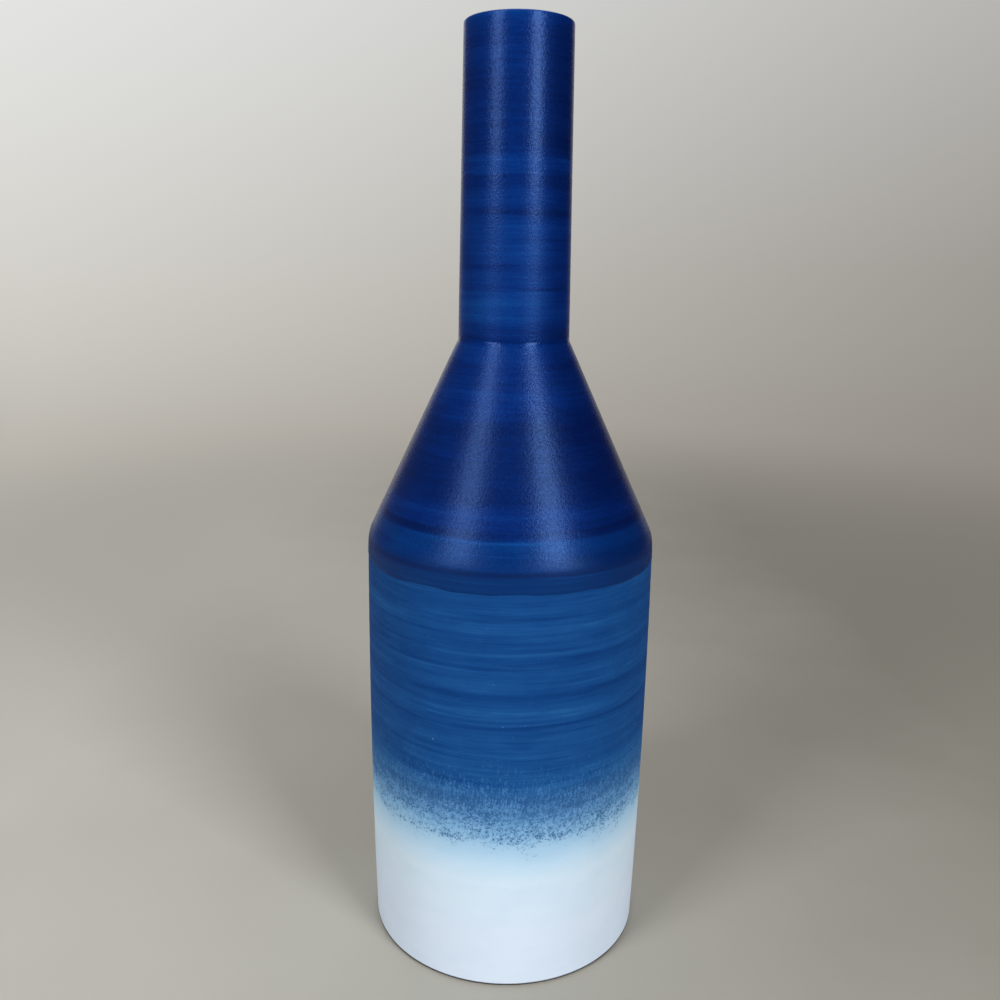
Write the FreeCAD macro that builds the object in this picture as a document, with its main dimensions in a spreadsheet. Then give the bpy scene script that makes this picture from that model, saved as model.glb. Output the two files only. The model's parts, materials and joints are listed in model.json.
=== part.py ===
import FreeCAD, Part
import math
import os
import Sketcher

# Bottle vase, in millimetres. +Z is up and the origin is the centre of the foot, on the table.
# It is built in thrown clay sections, stuck together with slip, and then glazed outside and inside.
# Every piece is turned about Z from a profile drawn in the XZ plane, as (radius, height) corners.

doc = FreeCAD.newDocument("bottle_vase")

# Driving sizes
sizes = {
    # Outside line of the glazed vase
    "body_radius": "63.65",
    "base_taper": "1.3",
    "belly_swell": "0.45",
    "belly_height": "92.0",
    "body_height": "189.6",
    "shoulder_round": "18.0",
    "cone_height": "85.3",
    "crease_round": "6.0",
    "neck_radius": "23.85",
    "neck_taper": "1.55",
    "neck_length": "125.1",
    # Foot and floor
    "foot_height": "4.0",
    "foot_width": "12.0",
    "foot_chamfer": "0.5",
    "floor_thickness": "7.0",
    # Walls, seams and coils
    "body_wall": "5.0",
    "cone_wall": "5.0",
    "lip_wall": "4.0",
    "lip_edge_round": "0.5",
    "collar_land": "2.0",
    "slip_thickness": "0.8",
    "seam_gap": "2.0",
    "floor_coil_leg": "8.0",
    "shoulder_coil_leg": "12.0",
    # Glaze coats
    "navy_coat": "0.5",
    "coat_step": "0.12",
    "liner_coat": "0.5",
    "bare_strip": "0.2",
    "navy_lap": "3.6",
    "mouth_reach": "15.0",
}
sheet = doc.addObject("Spreadsheet::Sheet", "Sizes")
for row, (name, value) in enumerate(sizes.items(), start=1):
    sheet.set("A%d" % row, name)
    sheet.set("B%d" % row, value)
    sheet.setAlias("B%d" % row, name)
doc.recompute()

# Sizes that follow from the driving ones
form = doc.addObject("App::VarSet", "Form")


def derive(name, expression, kind="App::PropertyFloat"):
    form.addProperty(kind, name)
    form.setExpression(name, expression)
    doc.recompute()


# Outside line: the wall widens from the base to the belly and closes a little up to the shoulder
derive("base_radius", "Sizes.body_radius - Sizes.base_taper")
derive("belly_radius", "Sizes.body_radius + Sizes.belly_swell")
derive("slope", "atan((Sizes.body_radius - Sizes.neck_radius) / Sizes.cone_height)",
       kind="App::PropertyAngle")
derive("round_start", "Sizes.body_height - Sizes.shoulder_round * tan(Form.slope / 2)")
derive("round_centre", "Sizes.body_radius - Sizes.shoulder_round")
derive("crease_height", "Sizes.body_height + Sizes.cone_height")
derive("crease_rise", "Sizes.crease_round * tan(Form.slope / 2)")
derive("neck_top_radius", "Sizes.neck_radius - Sizes.neck_taper")
derive("overall_height", "Form.crease_height + Sizes.neck_length")

# Foot, floor and seams
derive("foot_inner", "Form.base_radius - Sizes.navy_coat - Sizes.foot_width")
derive("floor_low", "Sizes.foot_height + Sizes.slip_thickness")
derive("floor_top", "Form.floor_low + Sizes.floor_thickness")
derive("wall_low", "Form.floor_top + Sizes.slip_thickness")
derive("seam_height", "Form.round_start - Sizes.seam_gap")
derive("wall_top", "Form.seam_height - Sizes.slip_thickness")
derive("clay_crease", "Form.crease_height - Sizes.navy_coat * tan(Form.slope / 2)")
derive("cone_top", "Form.clay_crease - Sizes.slip_thickness")

# Inside of the clay: the wall, the cone and the straight bore of the neck
derive("bore_radius", "Form.neck_top_radius - Sizes.navy_coat - Sizes.lip_wall")
derive("inner_low", "Form.base_radius - Sizes.navy_coat - Sizes.body_wall")
derive("inner_high", "Sizes.body_radius - Sizes.navy_coat - Sizes.body_wall")
derive("cone_depth", "(Sizes.navy_coat + Sizes.cone_wall) / cos(Form.slope)")
derive("inner_corner", "Sizes.body_height"
       " + (Sizes.navy_coat + Sizes.body_wall - Form.cone_depth) / tan(Form.slope)")
derive("inner_crease", "Form.cone_top - Sizes.collar_land")
derive("inner_slope", "atan((Form.inner_high - Form.bore_radius) / (Form.inner_crease - Form.inner_corner))",
       kind="App::PropertyAngle")

# Lip, with a small round outside and a large one inside, and the ends of the glaze coats
derive("lip_edge_radius", "Form.neck_top_radius - Sizes.navy_coat - Sizes.lip_edge_round")
derive("lip_edge_height", "Form.overall_height - Sizes.navy_coat - Sizes.lip_edge_round")
derive("lip_round", "Sizes.lip_wall / 2")
derive("lip_radius", "Form.bore_radius + Form.lip_round")
derive("lip_height", "Form.overall_height - Sizes.navy_coat - Form.lip_round")
derive("glaze_low", "Sizes.foot_chamfer + Sizes.bare_strip")
derive("navy_low", "Form.round_start - Sizes.navy_lap")
derive("mouth_low", "Form.overall_height - Sizes.mouth_reach")


# Places on the form, as expressions. A depth is measured inwards from the outside line.
CLAY = "Sizes.navy_coat"
MATT = "Sizes.coat_step"
SKIN = "0"


def below_belly(height, depth):
    widening = "(Form.belly_radius - Form.base_radius) * (%s) / Sizes.belly_height" % height
    return "Form.base_radius + %s - %s" % (widening, depth), height


def belly(depth):
    return "Form.belly_radius - %s" % depth, "Sizes.belly_height"


def above_belly(height, depth):
    fall = "(Form.round_start - (%s)) / (Form.round_start - Sizes.belly_height)" % height
    return "Sizes.body_radius + Sizes.belly_swell * %s - %s" % (fall, depth), height


def round_end(depth):
    reach = "(Sizes.shoulder_round - %s)" % depth
    return ("Form.round_centre + %s * cos(Form.slope)" % reach,
            "Form.round_start + %s * sin(Form.slope)" % reach)


def inner_wall(height):
    share = "(%s - Form.floor_top) / (Form.inner_corner - Form.floor_top)" % height
    return "Form.inner_low + (Form.inner_high - Form.inner_low) * %s" % share, height


def shift(place, across, up):
    return "%s %s" % (place[0], across), "%s %s" % (place[1], up)


# Drawing and turning. A corner is a place, or a place with the radius and the hand of the arc
# that leaves it.
LEFT, RIGHT = 1, -1


def value_of(expression):
    return float(sheet.evalExpression(expression))


def centre_of(start, stop, radius, hand):
    chord = stop - start
    rise = math.sqrt(radius ** 2 - (chord.Length / 2) ** 2) * hand
    return (start + stop) / 2 + FreeCAD.Vector(-chord.y, chord.x, 0).normalize() * rise


def add_edge(sketch, start, stop, arc):
    """Add one side of a profile and say which of its ends are its start and its stop."""
    if arc is None:
        sketch.addGeometry(Part.LineSegment(start, stop))
        return 1, 2
    radius, hand = value_of(arc[0]), arc[1]
    centre = centre_of(start, stop, radius, hand)
    first, last = (start, stop) if hand == LEFT else (stop, start)
    angles = [math.atan2(point.y - centre.y, point.x - centre.x) for point in (first, last)]
    circle = Part.Circle(centre, FreeCAD.Vector(0, 0, 1), radius)
    sketch.addGeometry(Part.ArcOfCircle(circle, angles[0], angles[1]))
    return (1, 2) if hand == LEFT else (2, 1)


def hold(sketch, edge, end, place):
    """Fix one corner of the profile to its expressions."""
    for kind, axis, expression in (("DistanceX", -2, place[0]), ("DistanceY", -1, place[1])):
        if expression == "0":
            sketch.addConstraint(Sketcher.Constraint("PointOnObject", edge, end, axis))
        else:
            number = sketch.addConstraint(Sketcher.Constraint(kind, -1, 1, edge, end, value_of(expression)))
            sketch.setExpression("Constraints[%d]" % number, expression)


def draw(sketch, corners):
    """Draw a closed profile and bind every corner and arc to the sizes."""
    places = [corner[:2] for corner in corners]
    arcs = [corner[2:] or None for corner in corners]
    points = [FreeCAD.Vector(value_of(across), value_of(up), 0) for across, up in places]
    following = [(index + 1) % len(corners) for index in range(len(corners))]
    ends = [add_edge(sketch, points[index], points[after], arcs[index])
            for index, after in enumerate(following)]
    for index, after in enumerate(following):
        sketch.addConstraint(Sketcher.Constraint("Coincident", index, ends[index][1], after, ends[after][0]))
    for index, place in enumerate(places):
        hold(sketch, index, ends[index][0], place)
        if arcs[index]:
            radius = arcs[index][0]
            number = sketch.addConstraint(Sketcher.Constraint("Radius", index, value_of(radius)))
            sketch.setExpression("Constraints[%d]" % number, radius)


pieces = []


def turned(name, corners):
    """One piece: a body whose profile is turned once round the vase's axis."""
    body = doc.addObject("PartDesign::Body", name)
    body.Label = name
    sketch = body.newObject("Sketcher::SketchObject", name + "_profile")
    plane = [item for item in body.Origin.OriginFeatures if item.Role == "XZ_Plane"][0]
    sketch.AttachmentSupport = (plane, "")
    sketch.MapMode = "FlatFace"
    doc.recompute()
    draw(sketch, corners)
    turn = body.newObject("PartDesign::Revolution", name + "_turn")
    turn.Profile = sketch
    turn.ReferenceAxis = (sketch, ["V_Axis"])
    turn.Angle = 360
    body.Tip = turn
    sketch.Visibility = False
    doc.recompute()
    pieces.append(body)


def arc(place, radius, hand):
    """A corner that an arc leaves."""
    return place + (radius, hand)


# Foot ring, with its lower edges chamfered
turned("foot_ring", [
    shift(below_belly("0", CLAY), "- Sizes.foot_chamfer", ""),
    below_belly("Sizes.foot_chamfer", CLAY),
    below_belly("Sizes.foot_height", CLAY),
    ("Form.foot_inner", "Sizes.foot_height"),
    ("Form.foot_inner", "Sizes.foot_chamfer"),
    ("Form.foot_inner + Sizes.foot_chamfer", "0"),
])
turned("foot_slip", [
    below_belly("Sizes.foot_height", CLAY),
    below_belly("Form.floor_low", CLAY),
    ("Form.foot_inner", "Form.floor_low"),
    ("Form.foot_inner", "Sizes.foot_height"),
])

# Floor slab, a whole disc, and the slip that the wall stands on
turned("floor_slab", [
    ("0", "Form.floor_low"),
    below_belly("Form.floor_low", CLAY),
    below_belly("Form.floor_top", CLAY),
    ("0", "Form.floor_top"),
])
turned("floor_slip", [
    below_belly("Form.floor_top", CLAY),
    below_belly("Form.wall_low", CLAY),
    inner_wall("Form.wall_low"),
    inner_wall("Form.floor_top"),
])

# Body cylinder and the slip on its top edge
turned("body_cylinder", [
    below_belly("Form.wall_low", CLAY),
    belly(CLAY),
    above_belly("Form.wall_top", CLAY),
    inner_wall("Form.wall_top"),
    inner_wall("Form.wall_low"),
])
turned("shoulder_slip", [
    above_belly("Form.wall_top", CLAY),
    above_belly("Form.seam_height", CLAY),
    inner_wall("Form.seam_height"),
    inner_wall("Form.wall_top"),
])

# Shoulder cone, from the seam under the rounded corner up to the neck's seam
inner_shoulder = ("Form.inner_high", "Form.inner_corner")
cone_edge = ("Sizes.neck_radius - Sizes.navy_coat + Sizes.slip_thickness * tan(Form.slope)",
             "Form.cone_top")
turned("shoulder_cone", [
    above_belly("Form.seam_height", CLAY),
    arc(above_belly("Form.round_start", CLAY), "Sizes.shoulder_round - " + CLAY, LEFT),
    round_end(CLAY),
    cone_edge,
    ("Form.bore_radius", "Form.cone_top"),
    ("Form.bore_radius", "Form.inner_crease"),
    inner_shoulder,
    inner_wall("Form.seam_height"),
])

# Slip under the neck, and the neck with its lip
clay_crease = ("Sizes.neck_radius - Sizes.navy_coat", "Form.clay_crease")
clay_lip = ("Form.neck_top_radius - Sizes.navy_coat", "Form.lip_edge_height")
clay_lip_edge = ("Form.lip_edge_radius", "Form.lip_edge_height + Sizes.lip_edge_round")
clay_lip_top = ("Form.lip_radius", "Form.lip_height + Form.lip_round")
turned("neck_slip", [
    cone_edge,
    clay_crease,
    ("Form.bore_radius", "Form.clay_crease"),
    ("Form.bore_radius", "Form.cone_top"),
])
turned("neck_tube", [
    clay_crease,
    arc(clay_lip, "Sizes.lip_edge_round", LEFT),
    clay_lip_edge,
    arc(clay_lip_top, "Form.lip_round", LEFT),
    ("Form.bore_radius", "Form.lip_height"),
    ("Form.bore_radius", "Form.clay_crease"),
])

# Coils of clay smoothed into the inside corners of the floor and shoulder seams
floor_corner = inner_wall("Form.floor_top")
floor_coil_foot = shift(floor_corner, "- Sizes.floor_coil_leg", "")
floor_coil_top = inner_wall("(Form.floor_top + Sizes.floor_coil_leg)")
turned("floor_coil", [
    floor_coil_foot,
    floor_corner,
    floor_coil_top,
])
shoulder_coil_low = inner_wall("(Form.inner_corner - Sizes.shoulder_coil_leg)")
shoulder_coil_top = shift(inner_shoulder, "- Sizes.shoulder_coil_leg * sin(Form.inner_slope)",
                          "+ Sizes.shoulder_coil_leg * cos(Form.inner_slope)")
turned("shoulder_coil", [
    shoulder_coil_low,
    inner_shoulder,
    shoulder_coil_top,
])

# Matt coats on the body, white up to the belly and blue above it
turned("white_glaze", [
    below_belly("Form.glaze_low", MATT),
    belly(MATT),
    belly(CLAY),
    below_belly("Form.glaze_low", CLAY),
])
turned("blue_glaze", [
    belly(MATT),
    above_belly("Form.navy_low", MATT),
    above_belly("Form.navy_low", CLAY),
    belly(CLAY),
])

# Satin coat from the shoulder up, over the lip and into the mouth
crease_low = shift(("Sizes.neck_radius + Sizes.crease_round", "Form.crease_height + Form.crease_rise"),
                   "- Sizes.crease_round * cos(Form.slope)", "- Sizes.crease_round * sin(Form.slope)")
lip_edge_bend = "Sizes.lip_edge_round + Sizes.navy_coat"
lip_bend = "Form.lip_round + Sizes.navy_coat"
turned("navy_glaze", [
    above_belly("Form.navy_low", SKIN),
    arc(above_belly("Form.round_start", SKIN), "Sizes.shoulder_round", LEFT),
    round_end(SKIN),
    arc(crease_low, "Sizes.crease_round", RIGHT),
    ("Sizes.neck_radius", "Form.crease_height + Form.crease_rise"),
    arc(("Form.neck_top_radius", "Form.lip_edge_height"), lip_edge_bend, LEFT),
    ("Form.lip_edge_radius", "Form.overall_height"),
    arc(("Form.lip_radius", "Form.overall_height"), lip_bend, LEFT),
    ("Form.bore_radius - Sizes.navy_coat", "Form.lip_height"),
    ("Form.bore_radius - Sizes.navy_coat", "Form.mouth_low"),
    ("Form.bore_radius", "Form.mouth_low"),
    arc(("Form.bore_radius", "Form.lip_height"), "Form.lip_round", RIGHT),
    clay_lip_top,
    arc(clay_lip_edge, "Sizes.lip_edge_round", RIGHT),
    clay_lip,
    clay_crease,
    arc(round_end(CLAY), "Sizes.shoulder_round - " + CLAY, RIGHT),
    above_belly("Form.round_start", CLAY),
    above_belly("Form.navy_low", CLAY),
])

# Liner coat, over the floor, the coils, the cone and the bore
LINER = "Sizes.liner_coat"
liner_bore = "Form.bore_radius - " + LINER
eighth_turn = "tan(45deg / 2)"
turned("liner_glaze", [
    ("0", "Form.floor_top"),
    floor_coil_foot,
    floor_coil_top,
    shoulder_coil_low,
    shoulder_coil_top,
    ("Form.bore_radius", "Form.inner_crease"),
    ("Form.bore_radius", "Form.mouth_low"),
    (liner_bore, "Form.mouth_low"),
    (liner_bore, "Form.inner_crease - %s * tan(Form.inner_slope / 2)" % LINER),
    shift(shoulder_coil_top,
          "- %s * cos(Form.inner_slope * 3 / 4) / cos(Form.inner_slope / 4)" % LINER,
          "- %s * sin(Form.inner_slope * 3 / 4) / cos(Form.inner_slope / 4)" % LINER),
    shift(shoulder_coil_low, "- " + LINER, "- %s * tan(Form.inner_slope / 4)" % LINER),
    shift(floor_coil_top, "- " + LINER, "+ %s * %s" % (LINER, eighth_turn)),
    shift(floor_coil_foot, "- %s * %s" % (LINER, eighth_turn), "+ " + LINER),
    ("0", "Form.floor_top + " + LINER),
])

# Every object has to be sound before anything is written
doc.recompute()
for item in doc.Objects:
    if "Invalid" in item.State or "Error" in item.State:
        raise RuntimeError("%s failed: %s" % (item.Label, item.State))
for body in pieces:
    if body.Shape.isNull() or not body.Shape.isValid() or len(body.Shape.Solids) != 1:
        raise RuntimeError("%s is not one sound solid" % body.Label)

os.makedirs("parts", exist_ok=True)
for body in pieces:
    body.Shape.exportStep("parts/%s.step" % body.Label)
    print("%-14s %10.2f mm3" % (body.Label, body.Shape.Volume))
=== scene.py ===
import json
import math

import bpy
from mathutils import Matrix, Vector


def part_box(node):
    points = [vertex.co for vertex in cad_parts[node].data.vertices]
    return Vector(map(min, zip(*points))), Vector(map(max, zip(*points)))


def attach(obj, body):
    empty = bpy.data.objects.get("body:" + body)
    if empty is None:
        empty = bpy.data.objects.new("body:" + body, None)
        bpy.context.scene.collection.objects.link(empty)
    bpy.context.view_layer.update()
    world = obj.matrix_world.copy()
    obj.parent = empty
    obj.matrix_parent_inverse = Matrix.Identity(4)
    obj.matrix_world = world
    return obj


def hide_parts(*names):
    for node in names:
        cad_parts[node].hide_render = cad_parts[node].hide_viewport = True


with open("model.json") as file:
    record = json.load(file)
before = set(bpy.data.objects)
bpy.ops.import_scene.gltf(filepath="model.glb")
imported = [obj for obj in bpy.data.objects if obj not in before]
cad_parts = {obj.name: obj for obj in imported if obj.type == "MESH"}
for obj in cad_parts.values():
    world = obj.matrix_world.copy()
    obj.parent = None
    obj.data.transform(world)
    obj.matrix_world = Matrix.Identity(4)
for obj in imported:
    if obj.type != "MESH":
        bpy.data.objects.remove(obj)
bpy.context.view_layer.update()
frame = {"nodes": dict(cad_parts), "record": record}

bpy.context.scene.view_settings.view_transform = "Standard"

# Sizes are in millimetres, as radius and height on the vase, and become metres in the meshes
MM = 0.001


def lowest(node):
    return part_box(node)[0] / MM


def highest(node):
    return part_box(node)[1] / MM


# Sizes that the frame gives
OVERALL = highest("navy_glaze").z
NAVY_LOW = lowest("navy_glaze").z
MOUTH_LOW = highest("liner_glaze").z
BELLY_RADIUS = min(*highest("white_glaze")[:2], *(-side for side in lowest("white_glaze")[:2]))
BELLY_SEAM = highest("white_glaze").z
GLAZE_LOW = lowest("white_glaze").z
CLAY_NECK = highest("neck_tube").x
CLAY_CREASE = lowest("neck_tube").z
FOOT_TOP = highest("foot_ring").z

# Sizes of the form
NAVY_COAT = 0.5
COAT_STEP = 0.12
BELLY_SWELL = 0.45
BASE_TAPER = 1.3
BELLY_HEIGHT = 130.0
BODY_HEIGHT = 189.6
CONE_HEIGHT = 85.3
SHOULDER_ROUND = 18.0
CREASE_ROUND = 3.0
NECK_TAPER = 1.55
LIP_WALL = 4.0
LIP_EDGE_ROUND = 0.5

BODY_RADIUS = BELLY_RADIUS + COAT_STEP - BELLY_SWELL
NECK_RADIUS = CLAY_NECK + NAVY_COAT
CREASE_HEIGHT = BODY_HEIGHT + CONE_HEIGHT
SLOPE = math.atan2(BODY_RADIUS - NECK_RADIUS, CONE_HEIGHT)
ROUND_START = BODY_HEIGHT - SHOULDER_ROUND * math.tan(SLOPE / 2)
ROUND_CENTRE = (BODY_RADIUS - SHOULDER_ROUND, ROUND_START)
CREASE_CENTRE = (NECK_RADIUS + CREASE_ROUND, CREASE_HEIGHT + CREASE_ROUND * math.tan(SLOPE / 2))
NECK_TOP = NECK_RADIUS - NECK_TAPER
LIP_ROUND = LIP_WALL / 2 + NAVY_COAT
LIP_CENTRE = (NECK_TOP - LIP_ROUND, OVERALL - LIP_ROUND)
LIP_BEND = LIP_EDGE_ROUND + NAVY_COAT
LIP_EDGE = (NECK_TOP - LIP_BEND, OVERALL - LIP_BEND)

# Camera, at the photograph's viewing angle. Its place is in metres and its turns are in radians.
LENS = 34.447
EYE = Vector((0, -0.4167, 0.3066))
LOOK_DOWN, LOOK_LEFT, LEAN = 0.2426, 0.0117, 0.0151

camera_data = bpy.data.cameras.new("camera")
camera_data.lens = LENS
camera = bpy.data.objects.new("camera", camera_data)
camera.matrix_world = (
    Matrix.Translation(EYE) @ Matrix.Rotation(LOOK_LEFT, 4, "Z")
    @ Matrix.Rotation(math.pi / 2 - LOOK_DOWN, 4, "X") @ Matrix.Rotation(LEAN, 4, "Z"))
bpy.context.scene.collection.objects.link(camera)
bpy.context.scene.camera = camera

# Node tools. A noise and a tone run from 0 to 1 about the middle, and a noise keeps mostly to the
# ranges below. FLAT is the scale that lays a place on the table.
MIDDLE = 0.5
NOISE_RANGE = (0.3, 0.7)
MOTTLE_RANGE = (0.35, 0.65)
FLAT = (1, 1, 0)
# Sockets of a Mix node by number: the share, the first and the second
COLOUR_SOCKETS, VALUE_SOCKETS = (0, 6, 7), (0, 2, 3)


def opaque(colour):
    return (*colour, 1)


def fill(tree, socket, value):
    """Link a socket to another node's output, or set it to a plain value."""
    if isinstance(value, bpy.types.NodeSocket):
        tree.links.new(value, socket)
    else:
        socket.default_value = value


def put(tree, kind, sockets=None, **settings):
    """Add a node, change its settings, and fill its sockets with values or other nodes' outputs."""
    node = tree.nodes.new(kind)
    for name, value in settings.items():
        setattr(node, name, value)
    for name, value in (sockets or {}).items():
        fill(tree, node.inputs[name], value)
    return node


def maths(tree, operation, *values):
    return put(tree, "ShaderNodeMath", dict(enumerate(values)), operation=operation).outputs[0]


def vectors(tree, operation, *values):
    return put(tree, "ShaderNodeVectorMath", dict(enumerate(values)), operation=operation).outputs


def plus(tree, base, value, share):
    """The base plus a share of the value."""
    return maths(tree, "MULTIPLY_ADD", value, share, base)


def centred(tree, value):
    """A value from 0 to 1, moved to lie about 0."""
    return maths(tree, "SUBTRACT", value, MIDDLE)


def span(tree, value, low, high, to_low=0.0, to_high=1.0, smooth=False):
    """Map a value from one range to another and stop at its ends."""
    sockets = {"Value": value, "From Min": low, "From Max": high,
               "To Min": to_low, "To Max": to_high}
    kind = "SMOOTHSTEP" if smooth else "LINEAR"
    return put(tree, "ShaderNodeMapRange", sockets, interpolation_type=kind).outputs["Result"]


def blend(tree, share, first, second):
    """Mix two colours. The share is the second's."""
    mix = put(tree, "ShaderNodeMix", data_type="RGBA")
    for number, value in zip(COLOUR_SOCKETS, (share, first, second)):
        fill(tree, mix.inputs[number], value)
    return mix.outputs[2]


def shades(tree, value, stops):
    """Colours along a value from 0 to 1, as (place, colour) stops."""
    ramp = put(tree, "ShaderNodeValToRGB", {"Fac": value})
    elements = ramp.color_ramp.elements
    while len(elements) < len(stops):
        elements.new(1.0)
    for element, (place, colour) in zip(elements, stops):
        element.position = place
    for element, (place, colour) in zip(elements, stops):
        element.color = opaque(colour)
    return ramp.outputs["Color"]


def along(tree, height, low, high, levels):
    """Colours along the height, as (height, colour). A plain number becomes a grey."""
    stops = [((level - low) / (high - low), value if isinstance(value, tuple) else (value,) * 3)
             for level, value in levels]
    return shades(tree, span(tree, height, low, high), stops)


def bands(tree, height, low, high, levels):
    """How much lighter or darker than its surroundings the glaze is at each height."""
    greys = [(level, MIDDLE + tone) for level, tone in sorted(levels)]
    return centred(tree, along(tree, height, low, high, greys))


def noise(tree, vector, scale, detail=2.0, roughness=0.5):
    sockets = {"Vector": vector, "Scale": scale, "Detail": detail, "Roughness": roughness}
    return put(tree, "ShaderNodeTexNoise", sockets).outputs["Fac"]


# Patches of colour and wear, as scale round the vase, scale along it, shift, detail and roughness
PATCHWORK = {
    "band strength": (20, 105, 5, 2.0, 0.5),
    "satin band strength": (16, 70, 3, 1.0, 0.5),
    "body clouds": (70, 110, 9, 5.0, 0.7),
    "satin clouds": (70, 110, 23, 5.0, 0.7),
    "fade waves": (30, 12, 2, 2.0, 0.5),
    "white mottle": (60, 90, 8, 3.0, 0.6),
    "low white mottle": (38, 55, 11, 4.0, 0.65),
    "smears": (1150, 360, 4, 3.0, 0.7),
    "blots": (620, 700, 9, 4.0, 0.75),
    "clumps": (180, 260, 6, 2.0, 0.6),
    "specks": (1300, 1500, 2, 2.0, 0.6),
    "dust": (420, 420, 6, 3.0, 0.6),
}


def patches_of(tree, place, name):
    across, up, shift, detail, roughness = PATCHWORK[name]
    sockets = {"Vector": place, "Scale": (across, across, up), "Location": (shift, shift, shift)}
    stretched = put(tree, "ShaderNodeMapping", sockets).outputs["Vector"]
    return noise(tree, stretched, scale=1.0, detail=detail, roughness=roughness)


def height_of(tree, place):
    """Height over the table in millimetres."""
    up = put(tree, "ShaderNodeSeparateXYZ", {0: place}).outputs["Z"]
    return maths(tree, "MULTIPLY", up, 1 / MM)


FLOAT, VECTOR, COLOUR = "NodeSocketFloat", "NodeSocketVector", "NodeSocketColor"


def start_group(name, takes, gives):
    group = bpy.data.node_groups.new(name, "ShaderNodeTree")
    for title, kind, start in takes:
        socket = group.interface.new_socket(title, in_out="INPUT", socket_type=kind)
        if start is not None:
            socket.default_value = start
    for title, kind in gives:
        group.interface.new_socket(title, in_out="OUTPUT", socket_type=kind)
    taken = group.nodes.new("NodeGroupInput").outputs
    given = group.nodes.new("NodeGroupOutput").inputs
    return group, taken, given


def use(tree, group, sockets, output):
    node = tree.nodes.new("ShaderNodeGroup")
    node.node_tree = group
    for name, value in sockets.items():
        fill(tree, node.inputs[name], value)
    return node.outputs[output]


# Height on the turning wheel, in millimetres, wavering a little round the vase
WAVER_REACH = 4.0
wheel_height, taken, given = start_group(
    "wheel_height", [("Place", VECTOR, None), ("Waver", FLOAT, 0.6), ("Waves", FLOAT, 14.0)],
    [("Height", FLOAT)])
tree = wheel_height
level = height_of(tree, taken["Place"])
slow = noise(tree, taken["Place"], scale=taken["Waves"], detail=1.0)
swing = maths(tree, "MULTIPLY", centred(tree, slow), taken["Waver"])
tree.links.new(plus(tree, level, swing, WAVER_REACH), given["Height"])

# Fine lines left by a brush held against the turning vase, from -1 to 1
LINE_RANGE = (0.25, 0.75)
brush_lines, taken, given = start_group(
    "brush_lines",
    [("Place", VECTOR, None), ("Across", FLOAT, 12.0), ("Up", FLOAT, 900.0), ("Shift", FLOAT, 0.0)],
    [("Lines", FLOAT)])
tree = brush_lines
scale = put(tree, "ShaderNodeCombineXYZ",
            {"X": taken["Across"], "Y": taken["Across"], "Z": taken["Up"]}).outputs[0]
spread = vectors(tree, "MULTIPLY", taken["Place"], scale)[0]
moved = vectors(tree, "ADD", spread, taken["Shift"])[0]
lines = noise(tree, moved, scale=1.0, detail=3.0, roughness=0.6)
tree.links.new(span(tree, lines, *LINE_RANGE, -1.0, 1.0), given["Lines"])

# One stroke of glaze: a line at one level that fades out on both sides of its middle. Its edge is
# soft between two distances in half widths, and its ends between two cosines about its reach.
EDGE_OUTSIDE, EDGE_INSIDE = 1.3, 0.5
END_OUTSIDE, END_INSIDE = 0.12, 0.16
brush_stroke, taken, given = start_group(
    "brush_stroke",
    [("Place", VECTOR, None), ("Height", FLOAT, 0.0), ("Level", FLOAT, 0.0),
     ("Half width", FLOAT, 1.0), ("Middle", VECTOR, None), ("Reach", FLOAT, 0.5),
     ("Rise", FLOAT, 0.0), ("Tone", FLOAT, -0.2)],
    [("Tone", FLOAT)])
tree = brush_stroke
flat = vectors(tree, "MULTIPLY", taken["Place"], FLAT)[0]
outward = vectors(tree, "NORMALIZE", flat)[0]
facing = vectors(tree, "DOT_PRODUCT", outward, taken["Middle"])["Value"]
side = put(tree, "ShaderNodeSeparateXYZ", {0: outward}).outputs["X"]
leaning = maths(tree, "MULTIPLY_ADD", side, taken["Rise"], taken["Level"])
off = maths(tree, "ABSOLUTE", maths(tree, "SUBTRACT", taken["Height"], leaning))
widths = maths(tree, "DIVIDE", off, taken["Half width"])
inside = span(tree, widths, EDGE_OUTSIDE, EDGE_INSIDE, smooth=True)
swept = span(tree, facing, maths(tree, "SUBTRACT", taken["Reach"], END_OUTSIDE),
             maths(tree, "ADD", taken["Reach"], END_INSIDE), smooth=True)
both = maths(tree, "MULTIPLY", inside, swept)
tree.links.new(maths(tree, "MULTIPLY", both, taken["Tone"]), given["Tone"])

# Fine pebbled grain of a fired glaze, from 0 to 1
glaze_grain, taken, given = start_group(
    "glaze_grain", [("Place", VECTOR, None), ("Grain", FLOAT, 900.0)], [("Height", FLOAT)])
tree = glaze_grain
pebbles = noise(tree, taken["Place"], scale=taken["Grain"], roughness=0.6)
tree.links.new(pebbles, given["Height"])


def strokes_of(tree, place, height, strokes, tone):
    """Add strokes to a tone, as level, half width, middle, reach, rise and tone.

    The middle and the reach are angles round the vase in degrees, and 0 is the front.
    """
    for level, half, middle, reach, rise, change in strokes:
        way = math.radians(middle)
        values = {"Place": place, "Height": height, "Level": level, "Half width": half,
                  "Middle": (math.sin(way), -math.cos(way), 0),
                  "Reach": math.cos(math.radians(reach)), "Rise": rise, "Tone": change}
        tone = maths(tree, "ADD", tone, use(tree, brush_stroke, values, "Tone"))
    return tone


# Brushes, as the scale of their lines round the vase and along it. The shifts keep them apart.
FINE_BRUSH, BROAD_BRUSH = (16.0, 1100.0), (11.0, 240.0)
WISPY_BRUSH, SPONGE_ROWS = (24.0, 560.0), (28.0, 430.0)
BROAD_SHIFT, WISPY_SHIFT, SPONGE_SHIFT = 3.0, 6.0, 1.0
WISP_EDGE = (0.22, 0.5)
CLOUD_SHARE = 4.5


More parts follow.
